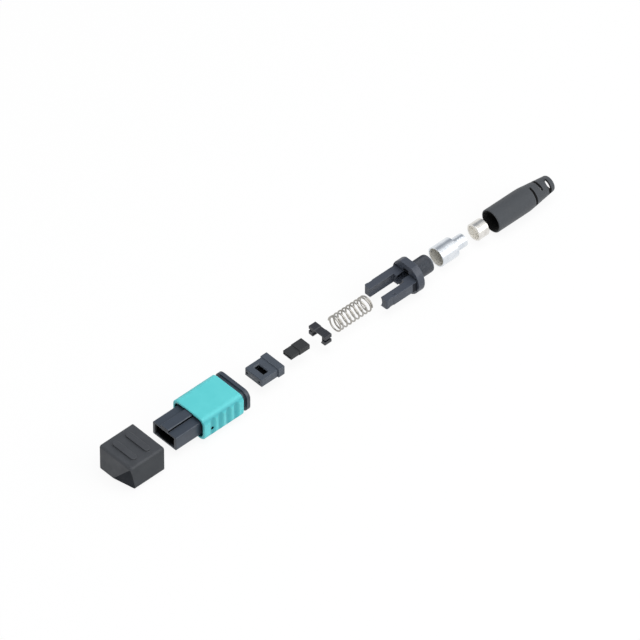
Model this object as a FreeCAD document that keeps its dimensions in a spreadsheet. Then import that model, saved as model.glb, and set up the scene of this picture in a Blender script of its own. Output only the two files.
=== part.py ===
import FreeCAD, Part
import math
import os
import Sketcher

# Twelve-fibre push-on connector, taken apart and laid out in assembly order on one axis.
# Frame in millimetres: origin at the centre of the inner housing's mating face, +X to the
# cable end, +Z to the side that carries the key. Every piece has its front at its own x = 0
# and its station along the axis is its Placement.

DIMENSIONS = {
    # Dust cap: a blind box that slips over the nose, with two finger ribs across its top.
    "cap_station": -17.5,
    "cap_length": 11.7,
    "cap_width": 12.4,
    "cap_height": 8.2,
    "cap_brow_radius": 0.8,
    "cap_edge_radius": 0.6,
    "cap_floor": 2.5,
    "cap_fit": 0.15,
    "cap_facet_run": 5.5,
    "cap_facet_set_back": 1.5,
    "rib_start": 2.5,
    "rib_length": 1.9,
    "rib_pitch": 4.65,
    "rib_width": 8.6,
    "rib_height": 0.45,
    # Inner housing: keyed nose, oblong body under the sleeve, rear collar.
    "housing_station": 0.0,
    "nose_width": 9.0,
    "nose_height": 4.4,
    "nose_corner": 0.35,
    "key_width": 3.0,
    "key_height": 0.9,
    "key_corner": 0.2,
    "body_start": 10.4,
    "body_width": 10.7,
    "body_height": 5.9,
    "body_corner": 1.6,
    "collar_start": 23.7,
    "collar_end": 24.8,
    "collar_width": 12.2,
    "collar_height": 7.0,
    "collar_corner": 2.1,
    "mouth_width": 6.7,
    "mouth_height": 2.8,
    "mouth_bevel": 0.3,
    "shoulder_depth": 6.0,
    "chamber_width": 7.4,
    "chamber_height": 3.3,
    "spring_bore": 5.2,
    "arm_chamber_start": 13.6,
    "arm_chamber_width": 8.9,
    "arm_chamber_height": 4.4,
    # Coupling sleeve: slides back on the housing against two small springs.
    "sleeve_station": 8.5,
    "sleeve_length": 14.1,
    "sleeve_width": 12.4,
    "sleeve_height": 7.4,
    "sleeve_corner": 2.0,
    "sleeve_rim": 0.25,
    "sleeve_bore_width": 10.9,
    "sleeve_bore_height": 6.1,
    "sleeve_bore_corner": 1.7,
    "key_notch_width": 3.3,
    "key_notch_length": 2.6,
    "key_notch_top": 3.3,
    "grip_start": 3.1,
    "grip_pitch": 2.75,
    "grip_radius": 1.5,
    "grip_depth": 0.45,
    "dimple_up": -0.8,
    "dimple_size": 0.7,
    "dimple_depth": 0.9,
    # Coupling springs: one each side, between a sleeve pocket and a housing pocket.
    "side_spring_station": 15.05,
    "side_spring_length": 6.9,
    "side_spring_offset": 5.2,
    "side_spring_size": 0.8,
    "side_spring_wire": 0.16,
    "side_pocket_start": 15.0,
    "side_pocket_length": 7.0,
    "side_pocket_height": 1.0,
    "housing_pocket_floor": 4.75,
    "sleeve_pocket_floor": 5.65,
    # Ferrule: moulded block with two guide holes, a flange, a rear slot and a top window.
    "ferrule_station": 31.4,
    "ferrule_length": 8.0,
    "ferrule_width": 6.4,
    "ferrule_height": 2.5,
    "ferrule_bevel": 0.2,
    "flange_start": 5.94,
    "flange_width": 7.1,
    "flange_height": 3.0,
    "guide_pitch": 4.6,
    "guide_bore": 0.7,
    "window_start": 2.1,
    "window_length": 1.6,
    "window_width": 3.45,
    "window_bevel": 0.3,
    "slot_width": 3.4,
    "slot_height": 1.6,
    "slot_depth": 5.9,
    # Ferrule boot: rubber sleeve that guides the ribbon into the rear slot.
    "guide_boot_station": 43.6,
    "guide_boot_length": 6.5,
    "insert_length": 3.0,
    "insert_width": 3.1,
    "insert_height": 1.3,
    "guide_boot_width": 3.5,
    "guide_boot_height": 1.7,
    "guide_boot_corner": 0.3,
    "ribbon_width": 2.7,
    "ribbon_height": 0.45,
    # Pin keeper: saddle that stands astride the boot behind the ferrule.
    "keeper_station": 54.3,
    "keeper_length": 2.3,
    "keeper_width": 6.4,
    "keeper_height": 3.0,
    "keeper_gap": 3.8,
    "keeper_arch": 1.0,
    "keeper_hook": 0.3,
    "keeper_hook_height": 0.4,
    "keeper_shoulder_radius": 0.24,
    "saddle_width": 1.5,
    "saddle_depth": 0.18,
    "keeper_slot_width": 0.72,
    # Main spring.
    "spring_station": 60.3,
    "spring_length": 12.1,
    "spring_size": 4.9,
    "spring_wire": 0.45,
    # Spring push: two latch arms, seat block, flange and crimp barrel.
    "push_station": 75.4,
    "arm_span": 8.7,
    "arm_height": 3.0,
    "arm_bore": 5.1,
    "seat_start": 8.55,
    "seat_slot_width": 2.0,
    "push_flange_start": 11.0,
    "push_flange_end": 13.2,
    "push_flange_size": 10.1,
    "push_flange_height": 9.2,
    "push_recess_width": 8.8,
    "push_recess_height": 4.2,
    "push_recess_depth": 0.4,
    "barrel_end": 19.1,
    "barrel_size": 5.1,
    "barrel_bevel": 0.2,
    "fibre_bore": 3.2,
    "latch_start": 1.1,
    "latch_length": 1.5,
    "latch_depth": 0.14,
    "arm_tip_bevel": 0.28,
    "arm_mark_size": 0.8,
    "arm_mark_depth": 0.2,
    # Crimp tube and crimp ring.
    "tube_station": 97.5,
    "tube_length": 9.7,
    "tube_size": 5.95,
    "tube_bore": 5.3,
    "tube_step": 5.6,
    "tube_cone": 0.4,
    "tube_neck_size": 3.84,
    "tube_neck_bore": 3.1,
    "neck_groove_start": 6.9,
    "neck_groove_pitch": 0.75,
    "neck_groove_length": 0.35,
    "neck_groove_depth": 0.12,
    "ring_station": 111.1,
    "ring_length": 3.6,
    "ring_size": 5.1,
    "ring_bore": 4.2,
    "ring_bevel": 0.15,
    # Strain-relief boot: straight sleeve, then a slotted taper.
    "relief_station": 117.5,
    "relief_length": 21.5,
    "relief_size": 7.0,
    "relief_bore": 6.1,
    "relief_straight": 11.6,
    "relief_end_size": 4.7,
    "relief_end_radius": 0.45,
    "relief_counterbore": 12.3,
    "cable_bore": 3.6,
    "relief_slot_start": 14.1,
    "relief_slot_pitch": 2.87,
    "relief_slot_length": 0.55,
    "relief_last_slot_length": 0.95,
    "relief_slot_reach": 4.2,
    "relief_roll": 38.0,
}

SHEET = "Dim"
ALONG = FreeCAD.Vector(1, 0, 0)
ACROSS = FreeCAD.Vector(0, 1, 0)
UPWARD = FreeCAD.Vector(0, 0, 1)
RIB_COUNT = 2
MAIN_SPRING_TURNS = 9
SIDE_SPRING_TURNS = 4
LEAST_CHANGE = 1e-4
GRIP_COUNT = 4
NECK_GROOVE_COUNT = 3
RELIEF_SLOT_COUNT = 3
SIDES = {"left": 1, "right": -1}


def write_sheet(doc):
    """Puts every driving dimension in the document's sheet under its alias."""
    sheet = doc.addObject("Spreadsheet::Sheet", SHEET)
    for row, (alias, value) in enumerate(DIMENSIONS.items(), start=1):
        sheet.set(f"A{row}", alias)
        sheet.set(f"B{row}", str(value))
        sheet.setAlias(f"B{row}", alias)
    doc.recompute()


def rectangle(width, height, across="0", up="0"):
    """Corners, as expressions, of a rectangle about the point (across, up)."""
    left = f"{across} - {width} / 2"
    right = f"{across} + {width} / 2"
    low = f"{up} - {height} / 2"
    high = f"{up} + {height} / 2"
    return [(left, low), (right, low), (right, high), (left, high)]


def span(start, length, low, high):
    """Corners of a rectangle that starts at one place along its first axis."""
    end = f"{start} + {length}"
    return [(start, low), (end, low), (end, high), (start, high)]


def keyed(width, height, key_width, key_top):
    """Corners of a rectangle with a narrower step, the key, on its upper side."""
    body = rectangle(width, height)
    half = f"{key_width} / 2"
    top_half = f"({half} - Dim.key_corner)"
    brow = f"{key_top} - Dim.key_corner"
    right_side = [(half, body[2][1]), (half, brow), (top_half, key_top)]
    left_side = [(f"-{top_half}", key_top), (f"-{half}", brow), (f"-{half}", body[3][1])]
    return body[:3] + right_side + left_side + [body[3]]


class Piece:
    """One body whose sketches and features read their sizes from the sheet."""

    def __init__(self, doc, label, station):
        self.doc = doc
        self.body = doc.addObject("PartDesign::Body", label)
        self.body.Label = label
        self.body.setExpression("Placement.Base.x", f"{SHEET}.{station}")

    def sketch(self, name, role, offset="0"):
        """An empty sketch on one of the body's own origin planes, moved along its normal."""
        sketch = self.body.newObject("Sketcher::SketchObject", f"{self.body.Label}_{name}_sketch")
        plane = next(item for item in self.body.Origin.OriginFeatures if item.Role == role)
        sketch.AttachmentSupport = [(plane, "")]
        sketch.MapMode = "FlatFace"
        sketch.setExpression("AttachmentOffset.Base.z", offset)
        return sketch

    def add_point(self, sketch, geometry, point, place):
        """Ties one point of a sketch to a pair of expressions."""
        for kind, expression in zip(("DistanceX", "DistanceY"), place):
            number = sketch.addConstraint(Sketcher.Constraint(kind, -1, 1, geometry, point, 1.0))
            sketch.setExpression(f"Constraints[{number}]", expression)

    def add_outline(self, sketch, corners):
        """Draws a closed outline through corners given as pairs of expressions."""
        first = sketch.GeometryCount
        turns = [2 * math.pi * index / len(corners) for index in range(len(corners))]
        seeds = [FreeCAD.Vector(math.cos(turn), math.sin(turn), 0) for turn in turns]
        for index, seed in enumerate(seeds):
            sketch.addGeometry(Part.LineSegment(seed, seeds[(index + 1) % len(seeds)]))
        for index in range(len(corners)):
            following = first + (index + 1) % len(corners)
            sketch.addConstraint(Sketcher.Constraint("Coincident", first + index, 2, following, 1))
        for index, place in enumerate(corners):
            self.add_point(sketch, first + index, 1, place)

    def add_circle(self, sketch, place, size):
        """Draws a circle about a pair of expressions, with its diameter as an expression."""
        circle = Part.Circle(FreeCAD.Vector(0, 0, 0), UPWARD, 1)
        number = sketch.addGeometry(circle)
        self.add_point(sketch, number, 3, place)
        size_number = sketch.addConstraint(Sketcher.Constraint("Diameter", number, 2.0))
        sketch.setExpression(f"Constraints[{size_number}]", size)

    def extrude(self, kind, name, sketch, length, reverse=False, both=False):
        """Pads or pockets a sketch, and checks that the feature changed the volume."""
        before = self.body.Shape.Volume if self.body.Tip else 0.0
        feature = self.body.newObject(f"PartDesign::{kind}", f"{self.body.Label}_{name}")
        feature.Profile = (sketch, [""])
        feature.SideType = "Symmetric" if both else "One side"
        feature.Reversed = reverse
        feature.setExpression("Length", length)
        self.doc.recompute()
        change = self.body.Shape.Volume - before
        grows = kind == "Pad"
        if (change > 0) != grows or abs(change) < LEAST_CHANGE:
            raise RuntimeError(f"{feature.Label} changed the volume by {change:.4f} mm3")
        return feature

    def pad(self, name, corners, start, length):
        """Adds a prism whose section across the axis has the given corners."""
        sketch = self.sketch(name, "YZ_Plane", start)
        self.add_outline(sketch, corners)
        return self.extrude("Pad", name, sketch, length)

    def pad_round(self, name, size, start, length):
        """Adds a round bar on the axis."""
        sketch = self.sketch(name, "YZ_Plane", start)
        self.add_circle(sketch, ("0", "0"), size)
        return self.extrude("Pad", name, sketch, length)

    def pocket(self, name, corners, start, length):
        """Cuts a prism, from its start towards the rear."""
        sketch = self.sketch(name, "YZ_Plane", start)
        self.add_outline(sketch, corners)
        return self.extrude("Pocket", name, sketch, length, reverse=True)

    def pocket_round(self, name, places, size, start, length):
        """Cuts round holes parallel to the axis, from their start towards the rear."""
        sketch = self.sketch(name, "YZ_Plane", start)
        for place in places:
            self.add_circle(sketch, place, size)
        return self.extrude("Pocket", name, sketch, length, reverse=True)

    def revolve(self, name, corners):
        """Turns a profile of (along, radius) corners about the axis."""
        sketch = self.sketch(name, "XY_Plane")
        self.add_outline(sketch, corners)
        feature = self.body.newObject("PartDesign::Revolution", f"{self.body.Label}_{name}")
        feature.Profile = (sketch, [""])
        feature.ReferenceAxis = (sketch, ["H_Axis"])
        feature.Angle = 360
        self.doc.recompute()
        return feature

    def edges(self, direction, keep):
        """Names of the tip's straight edges that run one way and pass a test of their middle."""
        shape = self.body.Tip.Shape
        found = []
        for number, edge in enumerate(shape.Edges, start=1):
            if not isinstance(edge.Curve, Part.Line):
                continue
            heading = edge.tangentAt(edge.FirstParameter)
            if abs(heading.dot(direction)) > 0.999 and keep(edge.CenterOfMass):
                found.append(f"Edge{number}")
        return found

    def arcs(self, keep):
        """Names of the tip's round edges that pass a test of their centre and radius."""
        found = []
        for number, edge in enumerate(self.body.Tip.Shape.Edges, start=1):
            if isinstance(edge.Curve, Part.Circle) and keep(edge.Curve.Center, edge.Curve.Radius):
                found.append(f"Edge{number}")
        return found

    def dress(self, kind, name, edges, size):
        """Rounds (Fillet) or bevels (Chamfer) the named edges."""
        if not edges:
            raise RuntimeError(f"{self.body.Label} {name} found no edges")
        base = self.body.Tip
        feature = self.body.newObject(f"PartDesign::{kind}", f"{self.body.Label}_{name}")
        feature.Base = (base, edges)
        feature.setExpression("Radius" if kind == "Fillet" else "Size", size)
        self.doc.recompute()
        return feature


def near(value, target, slack=0.02):
    """Whether two lengths agree to within the slack."""
    return abs(value - target) < slack


def slice_off(piece, name, points):
    """Cuts away what lies in front of the plane through three points."""
    first, second, third = points
    normal = (second - first).cross(third - first).normalize()
    if normal.x > 0:
        normal = -normal
    cutter = piece.body.newObject("PartDesign::SubtractiveBox", f"{piece.body.Label}_{name}")
    reach = 4 * DIMENSIONS["cap_width"]
    cutter.Length = reach
    cutter.Width = reach
    cutter.Height = reach
    turn = FreeCAD.Rotation(UPWARD, normal)
    corner = first - turn.multVec(FreeCAD.Vector(reach / 2, reach / 2, 0))
    cutter.Placement = FreeCAD.Placement(corner, turn)
    piece.doc.recompute()


def make_dust_cap(doc):
    """Blind cap: brow rounded at the top front, twisted front facets, ribs and keyed cavity."""
    size = DIMENSIONS
    half_width = size["cap_width"] / 2
    half_height = size["cap_height"] / 2
    cap = Piece(doc, "dust_cap", "cap_station")
    cap.pad("block", rectangle("Dim.cap_width", "Dim.cap_height"), "0", "Dim.cap_length")
    brow = cap.edges(ACROSS, lambda middle: near(middle.x, 0) and middle.z > 0)
    cap.dress("Fillet", "brow", brow, "Dim.cap_brow_radius")
    sides = cap.edges(ALONG, lambda middle: True)
    cap.dress("Fillet", "side_edges", sides, "Dim.cap_edge_radius")
    ridge_foot = FreeCAD.Vector(0, half_width - size["cap_facet_run"], -half_height)
    ridge_top = FreeCAD.Vector(0, -half_width, half_height)
    heel = FreeCAD.Vector(size["cap_facet_set_back"], -half_width, -half_height)
    slice_off(cap, "front_facet", (ridge_foot, ridge_top, heel))
    for number in range(RIB_COUNT):
        add_finger_rib(cap, number)
    cavity = keyed(
        "(Dim.nose_width + 2 * Dim.cap_fit)",
        "(Dim.nose_height + 2 * Dim.cap_fit)",
        "(Dim.key_width + 2 * Dim.cap_fit)",
        "Dim.nose_height / 2 + Dim.key_height + Dim.cap_fit",
    )
    cap.pocket("cavity", cavity, "Dim.cap_floor", "Dim.cap_length - Dim.cap_floor")
    return cap


def add_finger_rib(cap, number):
    """One raised rib across the cap's top, with round ends."""
    start = f"Dim.rib_start + {number} * Dim.rib_pitch"
    rib = cap.sketch(f"rib_{number + 1}", "XY_Plane", "Dim.cap_height / 2 - Dim.rib_height")
    cap.add_outline(rib, span(start, "Dim.rib_length", "-Dim.rib_width / 2", "Dim.rib_width / 2"))
    cap.extrude("Pad", f"rib_{number + 1}", rib, "2 * Dim.rib_height")
    top = DIMENSIONS["cap_height"] / 2
    middle_x = DIMENSIONS["rib_start"] + number * DIMENSIONS["rib_pitch"] + DIMENSIONS["rib_length"] / 2
    reach = DIMENSIONS["rib_length"] / 2 + 0.01
    ends = cap.edges(UPWARD, lambda middle: middle.z > top and abs(middle.x - middle_x) < reach)
    cap.dress("Fillet", f"rib_{number + 1}_ends", ends, "0.49 * Dim.rib_length")


def make_inner_housing(doc):
    """Keyed nose, oblong body and rear collar around the stepped ferrule and spring cavity."""
    size = DIMENSIONS
    housing = Piece(doc, "inner_housing", "housing_station")
    body = rectangle("Dim.body_width", "Dim.body_height")
    housing.pad("body", body, "Dim.body_start", "Dim.collar_start - Dim.body_start")
    housing.dress("Fillet", "body_edges", housing.edges(ALONG, lambda middle: True), "Dim.body_corner")
    collar = rectangle("Dim.collar_width", "Dim.collar_height")
    housing.pad("collar", collar, "Dim.collar_start", "Dim.collar_end - Dim.collar_start")
    collar_edges = housing.edges(ALONG, lambda middle: middle.x > size["collar_start"])
    housing.dress("Fillet", "collar_edges", collar_edges, "Dim.collar_corner")
    nose = keyed(
        "Dim.nose_width", "Dim.nose_height", "Dim.key_width", "Dim.nose_height / 2 + Dim.key_height"
    )
    housing.pad("nose", nose, "0", "Dim.body_start")
    corners = housing.edges(
        ALONG,
        lambda middle: middle.x < size["body_start"] and near(abs(middle.y), size["nose_width"] / 2),
    )
    housing.dress("Fillet", "nose_edges", corners, "Dim.nose_corner")
    mouth = rectangle("Dim.mouth_width", "Dim.mouth_height")
    housing.pocket("mouth", mouth, "0", "Dim.shoulder_depth")
    rim = housing.edges(ACROSS, lambda middle: near(middle.x, 0) and abs(middle.z) < size["mouth_height"])
    inner_rim = [name for name in rim if mouth_edge(housing, name)]
    upright = housing.edges(
        UPWARD, lambda middle: near(middle.x, 0) and near(abs(middle.y), size["mouth_width"] / 2)
    )
    housing.dress("Chamfer", "mouth_bevel", inner_rim + upright, "Dim.mouth_bevel")
    chamber = rectangle("Dim.chamber_width", "Dim.chamber_height")
    spring_room = "Dim.arm_chamber_start - Dim.shoulder_depth"
    housing.pocket("ferrule_chamber", chamber, "Dim.shoulder_depth", spring_room)
    housing.pocket_round(
        "spring_bore", [("0", "0")], "Dim.spring_bore", "Dim.body_start", "Dim.collar_end - Dim.body_start"
    )
    arms = rectangle("Dim.arm_chamber_width", "Dim.arm_chamber_height")
    housing.pocket("arm_chamber", arms, "Dim.arm_chamber_start", "Dim.collar_end - Dim.arm_chamber_start")
    for side, sign in SIDES.items():
        pocket = side_pocket(sign, "Dim.housing_pocket_floor", "Dim.body_width / 2")
        housing.pocket(f"{side}_pocket", pocket, "Dim.side_pocket_start", "Dim.side_pocket_length")
    return housing


def mouth_edge(housing, name):
    """Whether an edge belongs to the rim of the mouth opening."""
    middle = housing.body.Tip.Shape.getElement(name).CenterOfMass
    return near(abs(middle.z), DIMENSIONS["mouth_height"] / 2)


def side_pocket(sign, inner, outer):
    """Section of the pocket that holds half of a coupling spring on one side."""
    low = "-Dim.side_pocket_height / 2"
    high = "Dim.side_pocket_height / 2"
    near_side = f"{sign} * {inner}"
    far_side = f"{sign} * ({outer})"
    return [(near_side, low), (far_side, low), (far_side, high), (near_side, high)]


def make_coupling_sleeve(doc):
    """Oblong sleeve with scalloped grips, key notch, spring pockets and an index dimple."""
    size = DIMENSIONS
    sleeve = Piece(doc, "coupling_sleeve", "sleeve_station")
    sleeve.pad("shell", rectangle("Dim.sleeve_width", "Dim.sleeve_height"), "0", "Dim.sleeve_length")
    sleeve.dress("Fillet", "shell_edges", sleeve.edges(ALONG, lambda middle: True), "Dim.sleeve_corner")
    bore = rectangle("Dim.sleeve_bore_width", "Dim.sleeve_bore_height")
    sleeve.pocket("bore", bore, "0", "Dim.sleeve_length")
    inside = sleeve.edges(ALONG, lambda middle: near(abs(middle.z), size["sleeve_bore_height"] / 2))
    sleeve.dress("Fillet", "bore_edges", inside, "Dim.sleeve_bore_corner")
    ends = sleeve.edges(ACROSS, lambda middle: near(abs(middle.z), size["sleeve_height"] / 2))
    sleeve.dress("Chamfer", "rims", ends, "Dim.sleeve_rim")
    cut_grips(sleeve)
    dimple = sleeve.sketch("dimple", "XZ_Plane", "Dim.sleeve_width / 2 - Dim.dimple_depth")
    sleeve.add_circle(dimple, ("Dim.grip_start", "Dim.dimple_up"), "Dim.dimple_size")
    sleeve.extrude("Pocket", "dimple", dimple, "Dim.dimple_depth", reverse=True)
    notch = [
        ("-Dim.key_notch_width / 2", "0"),
        ("Dim.key_notch_width / 2", "0"),
        ("Dim.key_notch_width / 2", "Dim.key_notch_top"),
        ("-Dim.key_notch_width / 2", "Dim.key_notch_top"),
    ]
    sleeve.pocket("key_notch", notch, "0", "Dim.key_notch_length")
    pocket_start = "Dim.side_pocket_start - Dim.sleeve_station"
    for side, sign in SIDES.items():
        pocket = side_pocket(sign, "Dim.housing_pocket_floor", "Dim.sleeve_pocket_floor")
        pocket_length = f"Dim.sleeve_length - ({pocket_start})"
        sleeve.pocket(f"{side}_pocket", pocket, pocket_start, pocket_length)
    return sleeve


def cut_grips(sleeve):
    """Scallops in both narrow sides, cut by round tools that stand upright."""
    grips = sleeve.sketch("grips", "XY_Plane")
    centre = "(Dim.sleeve_width / 2 + Dim.grip_radius - Dim.grip_depth)"
    for number in range(GRIP_COUNT):
        along = f"Dim.grip_start + {number} * Dim.grip_pitch"
        for sign in SIDES.values():
            sleeve.add_circle(grips, (along, f"{sign} * {centre}"), "2 * Dim.grip_radius")
    sleeve.extrude("Pocket", "grips", grips, "Dim.sleeve_height", both=True)


def wind_spring(piece, prefix, turns):
    """Compression spring: a square wire wound as one even helix about the axis."""
    wire = f"Dim.{prefix}_wire"
    outer = f"Dim.{prefix}_size / 2"
    inner = f"{outer} - {wire}"
    section = piece.sketch("wire", "XY_Plane")
    piece.add_outline(section, [("0", inner), (wire, inner), (wire, outer), ("0", outer)])
    coil = piece.body.newObject("PartDesign::AdditiveHelix", f"{piece.body.Label}_coil")
    coil.Profile = (section, [""])
    coil.ReferenceAxis = (section, ["H_Axis"])
    coil.Mode = "pitch-turns-angle"
    coil.Turns = turns
    coil.setExpression("Pitch", f"(Dim.{prefix}_length - {wire}) / {turns}")
    piece.doc.recompute()


def make_coupling_spring(doc, side, sign):
    """Small return spring in the pocket on one side of the housing."""
    spring = Piece(doc, f"coupling_spring_{side}", "side_spring_station")
    spring.body.setExpression("Placement.Base.y", f"{sign} * Dim.side_spring_offset")
    wind_spring(spring, "side_spring", SIDE_SPRING_TURNS)
    return spring


def make_mt_ferrule(doc):
    """Moulded ferrule: beveled mating face, rear flange, guide holes, window and slot."""
    size = DIMENSIONS
    ferrule = Piece(doc, "mt_ferrule", "ferrule_station")
    ferrule.pad("block", rectangle("Dim.ferrule_width", "Dim.ferrule_height"), "0", "Dim.flange_start")
    face = ferrule.edges(ACROSS, lambda middle: near(middle.x, 0))
    face += ferrule.edges(UPWARD, lambda middle: near(middle.x, 0))
    ferrule.dress("Chamfer", "face_bevel", face, "Dim.ferrule_bevel")
    flange = rectangle("Dim.flange_width", "Dim.flange_height")
    ferrule.pad("flange", flange, "Dim.flange_start", "Dim.ferrule_length - Dim.flange_start")
    edges = ferrule.edges(ALONG, lambda middle: middle.x > size["flange_start"])
    ferrule.dress("Fillet", "flange_edges", edges, "Dim.ferrule_bevel")
    slot = rectangle("Dim.slot_width", "Dim.slot_height")
    ferrule.pocket("rear_slot", slot, "Dim.ferrule_length - Dim.slot_depth", "Dim.slot_depth")
    window = ferrule.sketch("window", "XY_Plane")
    half = "Dim.window_width / 2"
    ferrule.add_outline(window, span("Dim.window_start", "Dim.window_length", f"-{half}", half))
    ferrule.extrude("Pocket", "window", window, "Dim.ferrule_height / 2", reverse=True)
    top = size["ferrule_height"] / 2
    rim = ferrule.edges(
        ACROSS, lambda middle: near(middle.z, top) and 1 < middle.x < size["flange_start"] - 1
    )
    rim += ferrule.edges(
        ALONG, lambda middle: near(middle.z, top) and near(abs(middle.y), size["window_width"] / 2)
    )
    ferrule.dress("Chamfer", "window_bevel", rim, "Dim.window_bevel")
    holes = [(f"{sign} * Dim.guide_pitch / 2", "0") for sign in SIDES.values()]
    ferrule.pocket_round("guide_holes", holes, "Dim.guide_bore", "0", "Dim.ferrule_length")
    return ferrule


def make_ferrule_boot(doc):
    """Rubber boot: thin insert in front, wider grip behind, flat passage for the ribbon."""
    boot = Piece(doc, "ferrule_boot", "guide_boot_station")
    body = rectangle("Dim.guide_boot_width", "Dim.guide_boot_height")
    boot.pad("grip", body, "Dim.insert_length", "Dim.guide_boot_length - Dim.insert_length")
    boot.dress("Fillet", "grip_edges", boot.edges(ALONG, lambda middle: True), "Dim.guide_boot_corner")
    insert = rectangle("Dim.insert_width", "Dim.insert_height")
    boot.pad("insert", insert, "0", "Dim.insert_length")
    ribbon = rectangle("Dim.ribbon_width", "Dim.ribbon_height")
    boot.pocket("ribbon_way", ribbon, "0", "Dim.guide_boot_length")
    return boot


def make_pin_keeper(doc):
    """Arch with two hooked legs, a saddle on top and side-entry slots for guide pins."""
    keeper = Piece(doc, "pin_keeper", "keeper_station")
    outer = "Dim.keeper_width / 2"
    inner = "Dim.keeper_gap / 2"
    hook = f"({inner} - Dim.keeper_hook)"
    foot = "-Dim.keeper_height / 2"
    sole = f"({foot} + Dim.keeper_hook_height)"
    right_leg = [(f"-{outer}", foot), (f"-{hook}", foot), (f"-{hook}", sole), (f"-{inner}", sole)]
    left_leg = [(inner, sole), (hook, sole), (hook, foot), (outer, foot)]
    arch = [(f"-{inner}", "Dim.keeper_arch"), (inner, "Dim.keeper_arch")]
    crown = [(outer, "Dim.keeper_height / 2"), (f"-{outer}", "Dim.keeper_height / 2")]
    keeper.pad("arch", right_leg + arch + left_leg + crown, "0", "Dim.keeper_length")
    shoulders = keeper.edges(ALONG, lambda middle: near(abs(middle.y), DIMENSIONS["keeper_width"] / 2))
    keeper.dress("Fillet", "shoulders", shoulders, "Dim.keeper_shoulder_radius")
    saddle = "Dim.saddle_width / 2"
    hollow = [
        (f"-{saddle} - Dim.saddle_depth", "Dim.keeper_height / 2"),
        (f"-{saddle}", "Dim.keeper_height / 2 - Dim.saddle_depth"),
        (saddle, "Dim.keeper_height / 2 - Dim.saddle_depth"),
        (f"{saddle} + Dim.saddle_depth", "Dim.keeper_height / 2"),
    ]
    keeper.pocket("saddle", hollow, "0", "Dim.keeper_length")
    for side, sign in SIDES.items():
        half = "Dim.keeper_slot_width / 2"
        depth = f"{sign} * Dim.guide_pitch / 2"
        mouth = f"{sign} * (Dim.keeper_width / 2)"
        entry = [(depth, f"-{half}"), (mouth, f"-{half}"), (mouth, half), (depth, half)]
        keeper.pocket(f"{side}_pin_entry", entry, "0", "Dim.keeper_length")
        keeper.pocket_round(
            f"{side}_pin_seat", [(depth, "0")], "Dim.keeper_slot_width", "0", "Dim.keeper_length"
        )
    return keeper


def make_main_spring(doc):
    """Spring that presses the ferrule forward."""
    spring = Piece(doc, "main_spring", "spring_station")
    wind_spring(spring, "spring", MAIN_SPRING_TURNS)
    return spring


def make_spring_push(doc):
    """Flatted flange with two latch arms and a spring seat in front, crimp barrel behind."""
    size = DIMENSIONS
    push = Piece(doc, "spring_push", "push_station")
    flange_length = "Dim.push_flange_end - Dim.push_flange_start"
    push.pad_round("flange", "Dim.push_flange_size", "Dim.push_flange_start", flange_length)
    flats = push.sketch("flats", "YZ_Plane", "Dim.push_flange_start")
    for sign in SIDES.values():
        beyond = f"{sign} * (Dim.push_flange_height / 2 + Dim.push_flange_size / 4)"
        push.add_outline(flats, rectangle("Dim.push_flange_size", "(Dim.push_flange_size / 2)", "0", beyond))
    push.extrude("Pocket", "flats", flats, flange_length, reverse=True)
    recess = rectangle("Dim.push_recess_width", "Dim.push_recess_height")
    push.pocket("seat_recess", recess, "Dim.push_flange_start", "Dim.push_recess_depth")
    barrel_length = "Dim.barrel_end - Dim.push_flange_end"
    push.pad_round("barrel", "Dim.barrel_size", "Dim.push_flange_end", barrel_length)
    seat_length = "Dim.push_flange_start + Dim.push_recess_depth - Dim.seat_start"
    push.pad("seat", rectangle("Dim.arm_span", "Dim.arm_height"), "Dim.seat_start", seat_length)
    push.pad("arms", rectangle("Dim.arm_span", "Dim.arm_height"), "0", "Dim.seat_start")
    tips = push.edges(UPWARD, lambda middle: near(middle.x, 0))
    push.dress("Chamfer", "arm_tips", tips, "Dim.arm_tip_bevel")
    push.pocket_round("spring_room", [("0", "0")], "Dim.arm_bore", "0", "Dim.seat_start")
    slot = rectangle("Dim.seat_slot_width", "Dim.arm_height", up="Dim.arm_height / 2")
    push.pocket("seat_slot", slot, "0", "Dim.push_flange_start + Dim.push_recess_depth")
    push.pocket_round("fibre_way", [("0", "0")], "Dim.fibre_bore", "0", "Dim.barrel_end")
    latches = push.sketch("latches", "XY_Plane")
    for sign in SIDES.values():
        outer = f"{sign} * Dim.arm_span / 2"
        floor = f"{sign} * (Dim.arm_span / 2 - Dim.latch_depth)"
        end = "Dim.latch_start + Dim.latch_length"
        ramp = [("Dim.latch_start", outer), ("Dim.latch_start", floor), (end, floor)]
        push.add_outline(latches, ramp + [(f"{end} + Dim.latch_depth", outer)])
    push.extrude("Pocket", "latches", latches, "Dim.arm_height", both=True)
    mark = push.sketch("arm_mark", "XY_Plane", "Dim.arm_height / 2 - Dim.arm_mark_depth")
    mark_across = "-(Dim.arm_span + Dim.arm_bore) / 4 - Dim.arm_mark_depth / 2"
    mark_along = "Dim.latch_start + Dim.latch_length + Dim.arm_mark_size"
    push.add_circle(mark, (mark_along, mark_across), "Dim.arm_mark_size")
    push.extrude("Pocket", "arm_mark", mark, "Dim.arm_mark_depth", reverse=True)
    rear = push.arcs(
        lambda centre, radius: near(centre.x, size["barrel_end"]) and near(radius, size["barrel_size"] / 2)
    )
    push.dress("Chamfer", "barrel_lead", rear, "Dim.barrel_bevel")
    return push


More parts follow.
